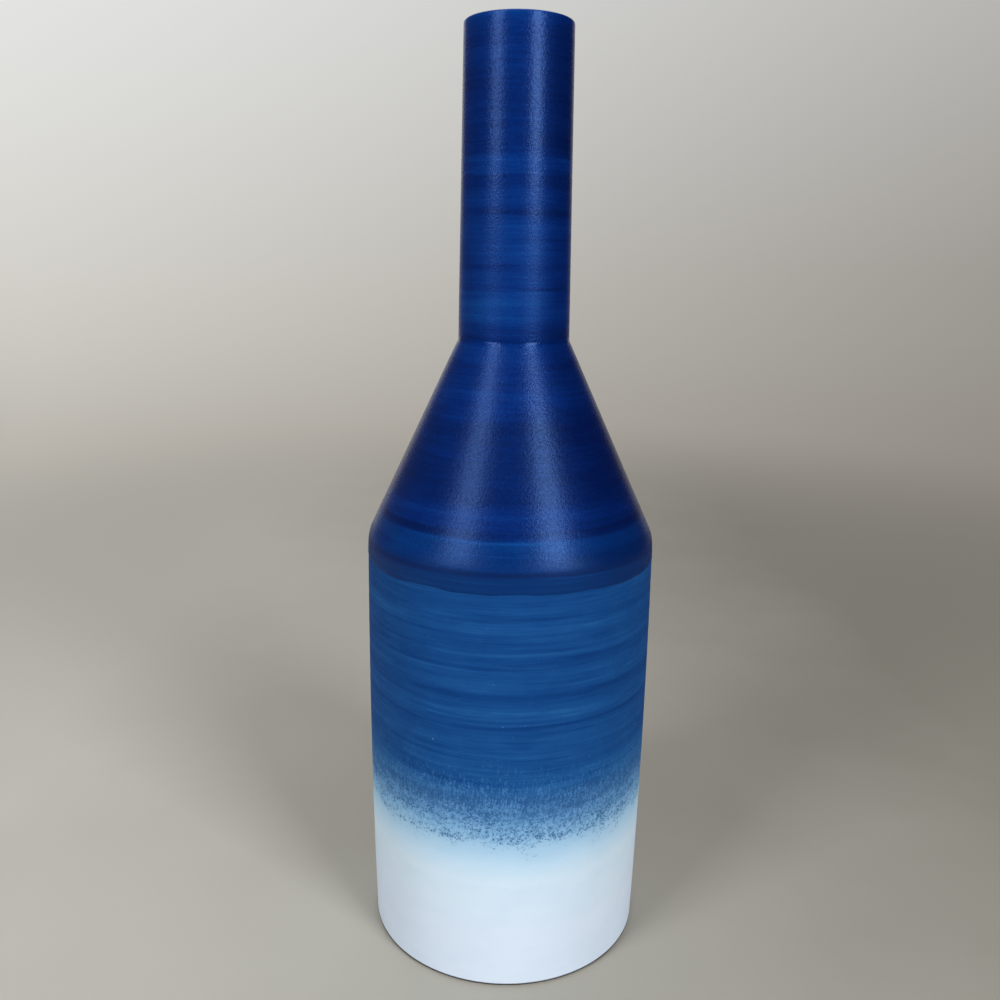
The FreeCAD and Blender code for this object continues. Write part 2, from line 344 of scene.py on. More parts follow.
def lines_of(tree, place, brush, shift):
    across, up = brush
    values = {"Place": place, "Across": across, "Up": up, "Shift": shift}
    return use(tree, brush_lines, values, "Lines")


def tone_with_streaks(tree, place, tone, clouds, shift, fine, broad, crisp):
    """Vary the tone with thin lines that come and go, crisp wisps, broader bands and clouds."""
    thin = lines_of(tree, place, FINE_BRUSH, shift)
    wide = lines_of(tree, place, BROAD_BRUSH, shift + BROAD_SHIFT)
    wisp = lines_of(tree, place, WISPY_BRUSH, shift + WISPY_SHIFT)
    start, full = WISP_EDGE
    wisps = maths(tree, "SUBTRACT", span(tree, wisp, start, full, smooth=True),
                  span(tree, wisp, -start, -full, smooth=True))
    tone = plus(tree, tone, thin, fine)
    tone = plus(tree, tone, wisps, crisp)
    tone = plus(tree, tone, wide, broad)
    cloud = centred(tree, patches_of(tree, place, clouds))
    return plus(tree, tone, cloud, broad * CLOUD_SHARE)


# Colours, as linear red, green and blue. The shades run from a dark tone, 0, to a light one, 1.
NAVY_SHADES = [
    (0.0, (0.0004, 0.0058, 0.054)), (0.3, (0.0005, 0.0102, 0.079)),
    (0.5, (0.0006, 0.0146, 0.113)), (0.75, (0.0011, 0.0265, 0.161)),
    (1.0, (0.0025, 0.048, 0.212))]
LAP_SHADES = [
    (0.0, (0.0004, 0.017, 0.096)), (0.5, (0.0004, 0.0245, 0.120)), (1.0, (0.002, 0.047, 0.185))]
BLUE_SHADES = [
    (0.0, (0.0022, 0.034, 0.150)), (0.3, (0.0038, 0.047, 0.185)), (0.5, (0.0055, 0.057, 0.208)),
    (0.75, (0.0085, 0.073, 0.240)), (1.0, (0.015, 0.100, 0.285))]
WHITE = (0.69, 0.80, 0.88)
WHITE_MOTTLE = (0.65, 0.77, 0.865)
WHITE_LOW = (0.735, 0.81, 0.905)
WHITE_LOW_MOTTLE = (0.70, 0.78, 0.88)
SPECK = (0.055, 0.155, 0.31)
DUST = (0.42, 0.5, 0.56)
# Dark grey of the painted contact shadow along the foot
CONTACT_SHADOW_GREY = (0.05, 0.055, 0.055)

# Ground of the fade from white to blue, as height and colour
FADE_LOW, FADE_HIGH = 45.0, 117.0
FADE_COLOURS = [
    (49, WHITE), (55, (0.63, 0.77, 0.865)), (59, (0.57, 0.73, 0.848)), (62, (0.515, 0.695, 0.83)),
    (66, (0.43, 0.625, 0.775)), (70, (0.355, 0.565, 0.74)), (75, (0.25, 0.46, 0.68)),
    (82, (0.135, 0.315, 0.555)), (90, (0.07, 0.21, 0.44)), (98, (0.036, 0.145, 0.355)),
    (108, (0.02, 0.108, 0.295))]
# Least that the sponged pattern has to reach for the blue to cover the ground, as height and level
SPONGE_LEAST = [(62, 0.98), (66, 0.78), (69, 0.67), (73, 0.565), (79, 0.555), (86, 0.50),
                (94, 0.455), (104, 0.37), (115, 0.22)]

# Brushed bands round the body, as height and tone, and strokes
BODY_LOW, BODY_TOP = 90, 182
BODY_BANDS = [
    (180, -0.05), (171.5, -0.04), (170.4, -0.12), (169.2, 0.02), (165, 0.06), (163.5, -0.1),
    (159, -0.03), (156.6, -0.02), (155.6, 0.08), (154, -0.04), (151.5, -0.2), (149.4, -0.16),
    (148.4, 0.08), (146, 0.0), (142, 0.1), (139.6, 0.04), (138.2, -0.16), (135.2, -0.16),
    (133, 0.02), (129, 0.12), (125.6, 0.12), (124.2, -0.12), (122.4, -0.04), (120, 0.12),
    (114, 0.14), (110, 0.04), (107, 0.1), (104, 0.1), (101, 0.26), (97, 0.52), (93, 0.36),
    (90, 0.1)]
BODY_STROKES = [
    (181.3, 0.5, -32, 20, 0.0, -0.2), (180.6, 0.6, 24, 18, 0.0, -0.2),
    (179.4, 0.4, 2, 14, 0.0, -0.14), (178.2, 0.4, -48, 12, 0.0, -0.14),
    (177.0, 0.5, 40, 12, 0.0, -0.14), (170.4, 0.7, 18, 22, 0.0, -0.22),
    (170.2, 0.6, -52, 12, 0.0, -0.18), (173.9, 0.5, -16, 8, 0.0, -0.16),
    (174.3, 0.5, 32, 10, 0.0, -0.16), (167, 2.6, -5, 60, 0.0, 0.08),
    (155.6, 0.6, 0, 28, 0.5, 0.16), (149.9, 0.9, -20, 26, 0.6, -0.2),
    (152.4, 1.3, 41, 22, 0.8, -0.2), (148.5, 0.4, -9, 20, 0.5, 0.3),
    (142.0, 2.4, -12, 20, 0.0, 0.12), (137.0, 1.8, 10, 45, 0.6, -0.14),
    (137.2, 1.2, 30, 14, 0.0, -0.16), (134.0, 0.8, -38, 10, 0.0, -0.14),
    (129.5, 3.0, 2, 36, 0.0, 0.08), (125.2, 0.45, 0, 18, 0.3, 0.32),
    (123.6, 0.8, 22, 42, 1.1, -0.3), (118.6, 0.5, -50, 10, 0.0, -0.14),
    (108.6, 1.1, 20, 20, 0.3, -0.22)]
BODY_SHIFT = 7.0
BODY_BAND_STRENGTH = (0.15, 1.7)
BODY_STREAKS = {"fine": 0.15, "broad": 0.11, "crisp": 0.17}

# Matt body glaze: white at the foot, sponged through pale blue into brushed blue
body_glaze, taken, given = start_group(
    "body_glaze", [("Place", VECTOR, None)], [("Color", COLOUR), ("Relief", FLOAT)])
tree = body_glaze
place = taken["Place"]
height = use(tree, wheel_height, {"Place": place, "Waver": 0.7}, "Height")
strength = span(tree, patches_of(tree, place, "band strength"), *NOISE_RANGE, *BODY_BAND_STRENGTH)
tone = plus(tree, MIDDLE, bands(tree, height, BODY_LOW, BODY_TOP, BODY_BANDS), strength)
tone = strokes_of(tree, place, height, BODY_STROKES, tone)
tone = tone_with_streaks(tree, place, tone, "body clouds", BODY_SHIFT, **BODY_STREAKS)
blue = shades(tree, tone, BLUE_SHADES)

# The fade's own height has ragged patches, in millimetres, so that it is nowhere level
RAGGED_PATCHES, RAGGED_WAVES, GROUND_PATCHES = 15.0, 5.0, 5.0
patches = centred(tree, noise(tree, place, scale=70.0, detail=3.0, roughness=0.6))
waves = centred(tree, patches_of(tree, place, "fade waves"))
ragged = plus(tree, plus(tree, height, waves, RAGGED_WAVES), patches, RAGGED_PATCHES)
level = plus(tree, height, patches, GROUND_PATCHES)
under = along(tree, level, FADE_LOW, FADE_HIGH, FADE_COLOURS)

# White under the fade, mottled, and a little paler towards the foot
LOW_WHITE, WHITE_END = (22, 48), (49, 55)
mottled = span(tree, patches_of(tree, place, "white mottle"), *MOTTLE_RANGE)
plain = blend(tree, mottled, opaque(WHITE_MOTTLE), opaque(WHITE))
cloudy = span(tree, patches_of(tree, place, "low white mottle"), *MOTTLE_RANGE)
plain_low = blend(tree, cloudy, opaque(WHITE_LOW_MOTTLE), opaque(WHITE_LOW))
plain = blend(tree, span(tree, level, *LOW_WHITE, smooth=True), plain_low, plain)
under = blend(tree, span(tree, level, *WHITE_END), plain, under)

# Blue lies over the pale ground in soft ragged patches, with crisp specks on their lower side
BLOTS_TO_SMEARS = (78, 92)
ROW_SHARE, CLUMP_SHARE, SPECK_SHARE = 0.075, 0.34, 0.75
VEIL_EDGE, SPECK_EDGE = (-0.14, 0.13), (-0.015, 0.05)
VEIL_THINS, VEIL_STRENGTH = (76, 90), (0.64, 1.0)
SPECKS_TO_BLUE = (76, 98)
smears = patches_of(tree, place, "smears")
blots = patches_of(tree, place, "blots")
rows = lines_of(tree, place, SPONGE_ROWS, SPONGE_SHIFT)
clumps = centred(tree, patches_of(tree, place, "clumps"))
smeared = span(tree, height, *BLOTS_TO_SMEARS)
patchy = put(tree, "ShaderNodeMix",
             dict(zip(VALUE_SOCKETS, (smeared, blots, smears)))).outputs[0]
patchy = plus(tree, patchy, rows, ROW_SHARE)
patchy = plus(tree, patchy, clumps, CLUMP_SHARE)
least = along(tree, ragged, FADE_LOW, FADE_HIGH, SPONGE_LEAST)
veil = span(tree, maths(tree, "SUBTRACT", patchy, least), *VEIL_EDGE)
veil = maths(tree, "MULTIPLY", veil, span(tree, height, *VEIL_THINS, *VEIL_STRENGTH))
specks = plus(tree, patches_of(tree, place, "specks"), centred(tree, patchy), SPECK_SHARE)
crisp = span(tree, maths(tree, "SUBTRACT", specks, least), *SPECK_EDGE, smooth=True)
cover = maths(tree, "MAXIMUM", veil, crisp)
speck_colour = blend(tree, span(tree, height, *SPECKS_TO_BLUE), opaque(SPECK), blue)
colour = blend(tree, cover, under, speck_colour)

# Thin dust, and a painted contact shadow: a dark grey band along the glaze's lower edge over the
# foot
DUST_EDGE, DUST_STRENGTH = (0.71, 0.78), (0.0, 0.22)
# Heights in millimetres over which the painted contact shadow fades out upwards
CONTACT_SHADOW_BAND = (1.45, 1.85)
dusted = span(tree, patches_of(tree, place, "dust"), *DUST_EDGE, *DUST_STRENGTH)
colour = blend(tree, dusted, colour, opaque(DUST))
colour = blend(tree, span(tree, height_of(tree, place), *CONTACT_SHADOW_BAND), opaque(CONTACT_SHADOW_GREY), colour)
tree.links.new(colour, given["Color"])
lines = lines_of(tree, place, FINE_BRUSH, BODY_SHIFT)
tree.links.new(plus(tree, lines, cover, share=0.5), given["Relief"])

# Turning marks in bare clay, as rings by radius and height
clay_marks, taken, given = start_group(
    "clay_marks", [("Place", VECTOR, None), ("Shift", FLOAT, 0.0)],
    [("Grit", FLOAT), ("Rings", FLOAT)])
tree = clay_marks
up = put(tree, "ShaderNodeSeparateXYZ", {0: taken["Place"]}).outputs["Z"]
flat = vectors(tree, "MULTIPLY", taken["Place"], FLAT)[0]
reach = vectors(tree, "LENGTH", flat)["Value"]
section = put(tree, "ShaderNodeCombineXYZ", {"X": reach, "Y": taken["Shift"], "Z": up}).outputs[0]
rings = noise(tree, section, scale=700.0, detail=3.0, roughness=0.6)
grit = noise(tree, taken["Place"], scale=1400.0, detail=4.0, roughness=0.7)
tree.links.new(rings, given["Rings"])
tree.links.new(grit, given["Grit"])


# Materials
def start_material(name, **finish):
    """A material with its Principled shader, set from plain values, and the place on the object."""
    material = bpy.data.materials.new(name)
    material.use_nodes = True
    tree = material.node_tree
    tree.nodes.clear()
    plain = {title.replace("_", " "): value for title, value in finish.items()}
    shader = put(tree, "ShaderNodeBsdfPrincipled", plain)
    output = put(tree, "ShaderNodeOutputMaterial")
    tree.links.new(shader.outputs[0], output.inputs["Surface"])
    return material, tree, shader.inputs, put(tree, "ShaderNodeTexCoord").outputs["Object"]


def bump(tree, shader, height, rise):
    """Relief that is rise millimetres high."""
    node = put(tree, "ShaderNodeBump", {"Height": height, "Strength": 1.0, "Distance": rise * MM})
    tree.links.new(node.outputs["Normal"], shader["Normal"])


MATT_ROUGHNESS = (0.66, 0.82)


def matt_glaze(name):
    material, tree, shader, place = start_material(
        name, Specular_IOR_Level=0.15, Specular_Tint=(0.4, 0.65, 1.0, 1.0))
    tree.links.new(use(tree, body_glaze, {"Place": place}, "Color"), shader["Base Color"])
    grain = use(tree, glaze_grain, {"Place": place, "Grain": 700.0}, "Height")
    tree.links.new(span(tree, grain, *NOISE_RANGE, *MATT_ROUGHNESS), shader["Roughness"])
    relief = use(tree, body_glaze, {"Place": place}, "Relief")
    bump(tree, shader, plus(tree, grain, relief, share=0.25), rise=0.012)
    return material


# Bands on the shoulder and the neck, as height and tone, and strokes
SATIN_LOW, SATIN_CREASE, SATIN_TOP = 180, 275, 400
SHOULDER_BANDS = [
    (180, -0.04), (181.2, -0.14), (182.6, -0.02), (183.8, -0.16), (185.2, -0.04), (186.6, -0.12),
    (187.6, -0.24), (188.9, -0.3), (190.2, -0.02), (193, 0.06), (195.5, 0.14), (198.5, 0.2),
    (200.4, 0.24), (201.2, -0.1), (203.4, -0.18), (205.2, 0.02), (208, 0.1), (211, 0.04),
    (214, -0.12), (222, -0.2), (230, -0.2), (238, -0.22), (242, -0.26), (246, -0.08), (250, 0.06),
    (258, 0.06), (262, -0.06), (266, -0.02), (270, 0.14), (274, 0.16), (275, 0.0)]
NECK_BANDS = [
    (275, 0.0), (275, 0.06), (279, 0.06), (283, 0.22), (288, 0.32), (293, 0.34), (295.2, 0.3),
    (296.3, 0.14), (298, 0.28), (302, 0.26), (304.6, 0.16), (306, 0.17), (309, 0.27),
    (318, 0.28), (324, 0.18), (326.4, -0.02), (328.5, 0.16), (333, 0.14), (337, 0.0),
    (340, 0.02), (343, 0.2), (347, 0.22), (348.6, 0.02), (352, -0.08), (362, 0.0), (378, -0.02),
    (392, 0.02), (397, 0.12), (400, 0.3)]
NAVY_STROKES = [
    (188.6, 1.0, -12, 40, 0.4, -0.25), (187.2, 0.45, 38, 26, 0.0, 0.5),
    (191.2, 4.0, 50, 24, 0.0, -0.4), (202.4, 1.5, -44, 20, 0.0, -0.35),
    (199.9, 0.4, -4, 24, 0.0, 0.25), (195.3, 0.35, 2, 9, 0.0, 0.3),
    (193.0, 1.8, 0, 12, 0.0, -0.2), (199.0, 7.0, 55, 24, 0.0, -0.2),
    (344.4, 3.6, -34, 26, 0.0, 0.12), (305.4, 1.4, -30, 24, 0.3, -0.14),
    # The stroke at level 300, 150 wide each way, darkens the coat's whole right side: painted shade
    (296.3, 0.5, 28, 18, 0.0, -0.26), (300, 150, 66, 36, 0.0, -0.28),
    (295.1, 0.4, 28, 14, 0.0, 0.25), (326.4, 1.0, -10, 30, 0.0, -0.14),
    (277.5, 1.2, -50, 16, 0.0, -0.25)]
NAVY_SHIFT = 21.0
NAVY_BAND_STRENGTH = (0.5, 1.35)
NAVY_STREAKS = {"fine": 0.09, "broad": 0.09, "crisp": 0.08}

# Heights over which the lap's greener shades end: all of them over the lap's edge, and the share
# that they keep up to the shoulder's corner
LAP_END = (190, 186)
SHOULDER_END, SHOULDER_SHARE = (203, 199), (0.0, 0.55)

# How rough the satin coat is at each height, which dulls its shine over the lap and down the neck
NAVY_ROUGHNESS = [
    (180, 0.60), (187, 0.57), (191, 0.37), (195, 0.285), (199.5, 0.27), (202.5, 0.28),
    (212, 0.27), (225, 0.28), (240, 0.285), (252, 0.285), (268, 0.30), (273, 0.27), (275, 0.15),
    (277, 0.32), (290, 0.38), (315, 0.35), (330, 0.30), (345, 0.27), (365, 0.27), (392, 0.275),
    (400, 0.23)]
NAVY_GRAIN_ROUGHNESS = (-0.07, 0.07)


def satin_navy():
    material, tree, shader, place = start_material(
        "satin_navy", Specular_IOR_Level=0.31, Specular_Tint=(0.26, 0.48, 1.0, 1.0))
    height = use(tree, wheel_height, {"Place": place, "Waver": 0.5}, "Height")
    strength = span(tree, patches_of(tree, place, "satin band strength"),
                    *NOISE_RANGE, *NAVY_BAND_STRENGTH)
    marks = maths(tree, "ADD", bands(tree, height, SATIN_LOW, SATIN_CREASE, SHOULDER_BANDS),
                  bands(tree, height, SATIN_CREASE, SATIN_TOP, NECK_BANDS))
    tone = plus(tree, MIDDLE, marks, strength)
    tone = strokes_of(tree, place, height, NAVY_STROKES, tone)
    tone = tone_with_streaks(tree, place, tone, "satin clouds", NAVY_SHIFT, **NAVY_STREAKS)
    lap = maths(tree, "MAXIMUM", span(tree, height, *LAP_END, smooth=True),
                span(tree, height, *SHOULDER_END, *SHOULDER_SHARE, smooth=True))
    colour = blend(tree, lap, shades(tree, tone, NAVY_SHADES), shades(tree, tone, LAP_SHADES))
    tree.links.new(colour, shader["Base Color"])
    rough = along(tree, height, SATIN_LOW, SATIN_TOP, NAVY_ROUGHNESS)
    grain = use(tree, glaze_grain, {"Place": place, "Grain": 1000.0}, "Height")
    rough = maths(tree, "ADD", rough, span(tree, grain, *NOISE_RANGE, *NAVY_GRAIN_ROUGHNESS))
    tree.links.new(rough, shader["Roughness"])
    lines = lines_of(tree, place, FINE_BRUSH, NAVY_SHIFT)
    bump(tree, shader, plus(tree, grain, lines, share=0.04), rise=0.09)
    return material


LINER_SHADES = [(0.3, (0.50, 0.52, 0.51)), (0.7, (0.62, 0.63, 0.60))]
LINER_ROUGHNESS = (0.12, 0.24)


def clear_liner():
    material, tree, shader, place = start_material("clear_liner", Specular_IOR_Level=0.5)
    mottle = noise(tree, place, scale=60.0, detail=4.0, roughness=0.6)
    tree.links.new(shades(tree, mottle, LINER_SHADES), shader["Base Color"])
    tree.links.new(span(tree, mottle, *NOISE_RANGE, *LINER_ROUGHNESS), shader["Roughness"])
    grain = use(tree, glaze_grain, {"Place": place, "Grain": 260.0}, "Height")
    bump(tree, shader, grain, rise=0.02)
    return material


GRIT_SHARE, RINGS_SHARE = 0.5, 0.5
CLAY_DARK, CLAY_PALE = 0.35, 0.62
CLAY_ROUGHNESS = (0.8, 0.95)


def fired_clay(name, pale, dark, shift):
    material, tree, shader, place = start_material(name, Specular_IOR_Level=0.2)
    rings = use(tree, clay_marks, {"Place": place, "Shift": shift}, "Rings")
    grit = use(tree, clay_marks, {"Place": place, "Shift": shift}, "Grit")
    shade = plus(tree, maths(tree, "MULTIPLY", grit, GRIT_SHARE), rings, RINGS_SHARE)
    tree.links.new(shades(tree, shade, [(CLAY_DARK, dark), (CLAY_PALE, pale)]),
                   shader["Base Color"])
    tree.links.new(span(tree, grit, *NOISE_RANGE, *CLAY_ROUGHNESS), shader["Roughness"])
    bump(tree, shader, shade, rise=0.08)
    return material


# Finish for each material slot
FINISHES = {
    "white_glaze": matt_glaze("matt_white_glaze"),
    "blue_glaze": matt_glaze("matt_blue_glaze"),
    "navy_glaze": satin_navy(),
    "liner_glaze": clear_liner(),
    "bare_clay": fired_clay("bare_clay", (0.66, 0.60, 0.50), (0.50, 0.44, 0.35), shift=0.0),
    "slip": fired_clay("fired_slip", (0.60, 0.54, 0.45), (0.46, 0.40, 0.32), shift=3.0),
}

# Turned pieces. A profile is a closed list of (radius, height) corners.
SIDES = 240
MERGE = 0.002
SHARP = math.radians(35)


def straight(start, end, step):
    """Corners along a straight stretch, without its end."""
    count = max(1, round(math.dist(start, end) / step))
    return [(start[0] + (end[0] - start[0]) * number / count,
             start[1] + (end[1] - start[1]) * number / count) for number in range(count)]


def arc(centre, radius, start, end, count):
    """Corners along an arc, with both its ends. The angles are in degrees."""
    angles = [math.radians(start + (end - start) * number / count) for number in range(count + 1)]
    return [(centre[0] + radius * math.cos(angle), centre[1] + radius * math.sin(angle))
            for angle in angles]


# Throwing rings, as a wave along the height. The pitches are in millimetres per radian.
RING_PITCH, RING_WANDER, WANDER_PITCH = 1.15, 1.3, 17
RING_STEP = 1.0
MATT_RINGS, SATIN_RINGS = 0.03, 0.02


def ringed(corners, depth):
    """Draw corners in by the shallow, uneven rings that throwing leaves."""
    def ring(height):
        turns = height / RING_PITCH + RING_WANDER * math.sin(height / WANDER_PITCH)
        return 0.5 - 0.5 * math.cos(turns)
    return [(radius - depth * ring(height), height) for radius, height in corners]


def turn(name, profile):
    """Pull the profile out of one vertex, corner by corner, and spin it round the vase's axis."""
    bpy.ops.object.select_all(action="DESELECT")
    bpy.ops.mesh.primitive_plane_add(size=MM, location=(0, 0, 0))
    piece = bpy.context.object
    piece.name = piece.data.name = name
    bpy.ops.object.mode_set(mode="EDIT")
    bpy.ops.mesh.select_mode(type="VERT")
    bpy.ops.mesh.select_all(action="SELECT")
    bpy.ops.mesh.merge(type="CENTER")
    here = Vector((0, 0, 0))
    for number, (radius, height) in enumerate(profile + profile[:1]):
        there = Vector((radius * MM, 0, height * MM))
        if number == 0:
            bpy.ops.transform.translate(value=there - here)
        else:
            bpy.ops.mesh.extrude_region_move(TRANSFORM_OT_translate={"value": there - here})
        here = there
    bpy.ops.mesh.select_all(action="SELECT")
    bpy.ops.mesh.remove_doubles(threshold=MERGE * MM)
    bpy.ops.mesh.select_all(action="SELECT")
    bpy.ops.mesh.spin(steps=SIDES, angle=math.tau, center=(0, 0, 0), axis=(0, 0, 1))
    bpy.ops.mesh.select_all(action="SELECT")
    bpy.ops.mesh.remove_doubles(threshold=MERGE * MM)
    bpy.ops.mesh.normals_make_consistent(inside=False)
    bpy.ops.object.mode_set(mode="OBJECT")
    bpy.ops.object.shade_smooth_by_angle(angle=SHARP)
    return piece


def finish_piece(piece, node, slot):
    piece.data.materials.append(FINISHES[slot])
    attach(piece, "root")
    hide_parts(node)


# Outside of the matt coats: one long swell from the foot to just under the shoulder's round
BASE_RADIUS = BODY_RADIUS - BASE_TAPER
BASE_MATT = BASE_RADIUS - COAT_STEP
BLUE_STOP = 0.6
LAP_TOP = ROUND_START - BLUE_STOP


def matt_radius(height):
    fall = (BELLY_RADIUS - BASE_MATT) / BELLY_HEIGHT ** 2
    return BELLY_RADIUS - fall * (height - BELLY_HEIGHT) ** 2


def clay_radius(height):
    if height < BELLY_SEAM:
        widest = BODY_RADIUS + BELLY_SWELL
        return BASE_RADIUS + (widest - BASE_RADIUS) * height / BELLY_SEAM - NAVY_COAT
    fall = (ROUND_START - height) / (ROUND_START - BELLY_SEAM)
    return BODY_RADIUS + BELLY_SWELL * fall - NAVY_COAT


def matt_skin(low, high):
    rungs = straight((0, low), (0, high), RING_STEP) + [(0, high)]
    return ringed([(matt_radius(height), height) for _, height in rungs], MATT_RINGS)


EDGE_ROUND = 0.3
edge_centre = (matt_radius(GLAZE_LOW) - EDGE_ROUND, GLAZE_LOW + EDGE_ROUND)
white_edge = (
    [(clay_radius(GLAZE_LOW), GLAZE_LOW)] + arc(edge_centre, EDGE_ROUND, -90, -20, count=4))
white_coat = turn("white_glaze_coat", (
    white_edge + matt_skin(GLAZE_LOW + 2 * EDGE_ROUND, BELLY_SEAM)
    + [(clay_radius(BELLY_SEAM), BELLY_SEAM)]))
finish_piece(white_coat, "white_glaze", "white_glaze")

blue_coat = turn("blue_glaze_coat", (
    [(clay_radius(BELLY_SEAM), BELLY_SEAM)] + matt_skin(BELLY_SEAM, LAP_TOP)
    + [(clay_radius(LAP_TOP), LAP_TOP)]))
finish_piece(blue_coat, "blue_glaze", "blue_glaze")

# Satin coat: it laps over the blue, then follows the shoulder, the cone, the neck and the lip
LAP_THINS, LAP_BEVEL, LAP_STEP = 0.08, 0.25, 0.8
slope = math.degrees(SLOPE)
shoulder_arc = arc(ROUND_CENTRE, SHOULDER_ROUND, 0, slope, count=12)
crease_arc = arc(CREASE_CENTRE, CREASE_ROUND, 180 + slope, 180, count=10)
lip_arc = (arc(LIP_EDGE, LIP_BEND, 0, 90, count=8)
           + arc(LIP_CENTRE, LIP_ROUND, 90, 180, count=12))
under_lap = matt_radius(NAVY_LOW)
lap_edge = under_lap + COAT_STEP
navy_outside = (
    [(lap_edge - LAP_THINS, NAVY_LOW)]
    + straight((lap_edge, NAVY_LOW + LAP_BEVEL), shoulder_arc[0], LAP_STEP)
    + shoulder_arc[:-1]
    + ringed(straight(shoulder_arc[-1], crease_arc[0], RING_STEP), SATIN_RINGS)
    + crease_arc[:-1]
    + ringed(straight(crease_arc[-1], lip_arc[0], RING_STEP), SATIN_RINGS)
    + lip_arc
    + [(lip_arc[-1][0], MOUTH_LOW)])
clay_lip = (arc(LIP_CENTRE, LIP_WALL / 2, 180, 90, count=8)
            + arc(LIP_EDGE, LIP_EDGE_ROUND, 90, 0, count=6))
clay_shoulder = arc(ROUND_CENTRE, SHOULDER_ROUND - NAVY_COAT, slope, 0, count=6)
navy_inside = (
    [(clay_lip[0][0], MOUTH_LOW)] + clay_lip + [(CLAY_NECK, CLAY_CREASE)] + clay_shoulder
    + [(clay_radius(LAP_TOP), LAP_TOP), (under_lap, LAP_TOP), (under_lap, NAVY_LOW)])
navy_coat = turn("navy_glaze_coat", navy_outside + navy_inside)

# The navy coat's lower edge wanders a little up and down, as a brushed edge does
EDGE_BAND, EDGE_WANDER = 3.0, 3.0
edge = navy_coat.vertex_groups.new(name="lower_edge")
for vertex in navy_coat.data.vertices:
    above = vertex.co.z / MM - NAVY_LOW
    if above < EDGE_BAND:
        edge.add([vertex.index], 1 - above / EDGE_BAND, "REPLACE")
wander = bpy.data.textures.new("edge_wander", "CLOUDS")
wander.noise_scale = 0.022
wander.noise_depth = 2
displace = navy_coat.modifiers.new("wandering_edge", "DISPLACE")
displace.texture = wander
displace.texture_coords = "LOCAL"
displace.direction = "Z"
displace.vertex_group = "lower_edge"
displace.mid_level = 0.9
displace.strength = EDGE_WANDER * MM
bpy.ops.object.select_all(action="DESELECT")
bpy.context.view_layer.objects.active = navy_coat
navy_coat.select_set(True)
bpy.ops.object.modifier_apply(modifier=displace.name)
finish_piece(navy_coat, "navy_glaze", "navy_glaze")

# Foot ring of bare clay, trimmed on the wheel: rounded edges and two shallow grooves under it
FOOT_WIDTH = 12.0
FOOT_INNER = BASE_RADIUS - NAVY_COAT - FOOT_WIDTH
FOOT_ROUND = 0.5
GROOVE = [(-0.5, 0.0), (-0.25, 0.12), (0.0, 0.16), (0.25, 0.12), (0.5, 0.0)]
GROOVE_PLACES = (0.35, 0.62)
foot_outer = clay_radius(0)
grooves = [(FOOT_INNER + FOOT_WIDTH * share + across, up)
           for share in GROOVE_PLACES for across, up in GROOVE]
foot = turn("foot_ring_turned", (
    arc((FOOT_INNER + FOOT_ROUND, FOOT_ROUND), FOOT_ROUND, 180, 270, count=6) + grooves
    + arc((foot_outer - FOOT_ROUND, FOOT_ROUND), FOOT_ROUND, 270, 360, count=6)
    + [(clay_radius(FOOT_TOP), FOOT_TOP), (FOOT_INNER, FOOT_TOP)]))
finish_piece(foot, "foot_ring", "bare_clay")

# CAD nodes that keep their own shape
slots = {part["node"]: part["material_slot"] for part in frame["record"]["subparts"]}
for name, node in frame["nodes"].items():
    node.data.materials.clear()
    node.data.materials.append(FINISHES[slots[name]])

# Plain surround, as colours by direction: a pale backdrop behind the vase in a dim room
HIGH_LEFT, HIGH_RIGHT = (0.80, 0.81, 0.80), (0.47, 0.46, 0.44)
LOW_LEFT, LOW_RIGHT = (0.66, 0.645, 0.605), (0.34, 0.325, 0.30)
DOWN_LEFT, DOWN_RIGHT = (0.50, 0.475, 0.43), (0.29, 0.27, 0.24)
ROOM_LEFT, ROOM_RIGHT = (0.085, 0.09, 0.10), (0.02, 0.02, 0.025)
ROOM_BACK = (0.14, 0.14, 0.145)
# Where the colours change: from left to right, below and above the horizon, at the backdrop's
# front, left and right edges, and towards the back of the room
TURN_ACROSS = (-0.45, 0.45)
TURN_BELOW, TURN_ABOVE = (-0.2, 0.0), (0.0, 0.25)
BACKDROP_FRONT, BACKDROP_LEFT, BACKDROP_RIGHT = (0.2, 0.5), (-0.72, -0.545), (0.68, 0.545)
LEAST_FORWARD = 0.01
ROOM_TURN = (0.1, -0.4)
surround, taken, given = start_group(
    "surround", [("Direction", VECTOR, None)], [("Color", COLOUR)])
tree = surround
way = put(tree, "ShaderNodeSeparateXYZ", {0: taken["Direction"]}).outputs
rightwards = span(tree, way["X"], *TURN_ACROSS)
high = blend(tree, rightwards, opaque(HIGH_LEFT), opaque(HIGH_RIGHT))
low = blend(tree, rightwards, opaque(LOW_LEFT), opaque(LOW_RIGHT))
down = blend(tree, rightwards, opaque(DOWN_LEFT), opaque(DOWN_RIGHT))
lower = blend(tree, span(tree, way["Z"], *TURN_BELOW), down, low)
backdrop = blend(tree, span(tree, way["Z"], *TURN_ABOVE), lower, high)
aside = maths(tree, "DIVIDE", way["X"], maths(tree, "MAXIMUM", way["Y"], LEAST_FORWARD))
between = maths(tree, "MULTIPLY", span(tree, aside, *BACKDROP_LEFT, smooth=True),
                span(tree, aside, *BACKDROP_RIGHT, smooth=True))
behind = maths(tree, "MULTIPLY", span(tree, way["Y"], *BACKDROP_FRONT, smooth=True), between)
room = blend(tree, rightwards, opaque(ROOM_LEFT), opaque(ROOM_RIGHT))
room = blend(tree, span(tree, way["Y"], *ROOM_TURN, smooth=True), room, opaque(ROOM_BACK))
tree.links.new(blend(tree, behind, room, backdrop), given["Color"])
